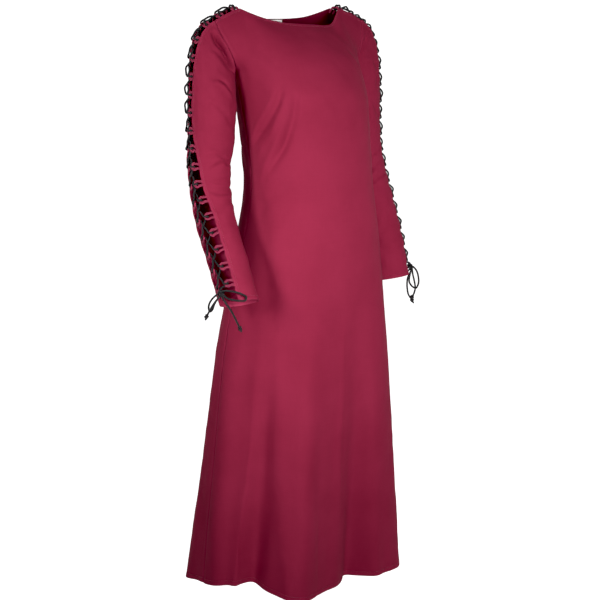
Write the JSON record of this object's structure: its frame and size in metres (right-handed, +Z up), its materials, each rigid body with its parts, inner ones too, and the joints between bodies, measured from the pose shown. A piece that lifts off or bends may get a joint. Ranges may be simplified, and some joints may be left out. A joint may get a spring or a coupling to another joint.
{
  "type": "medieval underdress with laced sleeves",
  "caption": "Floor-length fitted cotton underdress in worn, hollow form, with a boat neck, flared skirt and long sleeves open along the outer side and laced from neck to wrist.",
  "frame": {"origin": "middle of the neck opening at shoulder height, where the shoulders of who wears it hold the dress up", "axes": "+Z up, -Y is the front of the dress, +X is the left side as worn; the hem is at about z -1.44"},
  "size_m": [0.6819, 0.4196, 1.4432],
  "materials": {
    "canvas": "plain-woven cotton canvas, wine red, matt with a slight sheen",
    "loop_cord": "sewn cloth cord of the same cotton",
    "lace": "round braided cotton lace, black",
    "label": "plain white woven strip, blank"
  },
  "bodies": {
    "root": {"front_panel": "canvas", "back_panel": "canvas", "sleeve_right": "canvas", "sleeve_left": "canvas", "neck_label": "label", "loops_right_front": "loop_cord", "loops_right_back": "loop_cord", "loops_left_front": "loop_cord", "loops_left_back": "loop_cord", "lace_right_a": "lace", "lace_right_b": "lace", "lace_left_a": "lace", "lace_left_b": "lace", "bow_right_knot": "lace", "bow_right_loop_1": "lace", "bow_right_loop_2": "lace", "bow_right_end_1": "lace", "bow_right_end_2": "lace", "bow_right_tip_1": "lace", "bow_right_tip_2": "lace", "bow_left_knot": "lace", "bow_left_loop_1": "lace", "bow_left_loop_2": "lace", "bow_left_end_1": "lace", "bow_left_end_2": "lace", "bow_left_tip_1": "lace", "bow_left_tip_2": "lace"}
  },
  "joints": []
}
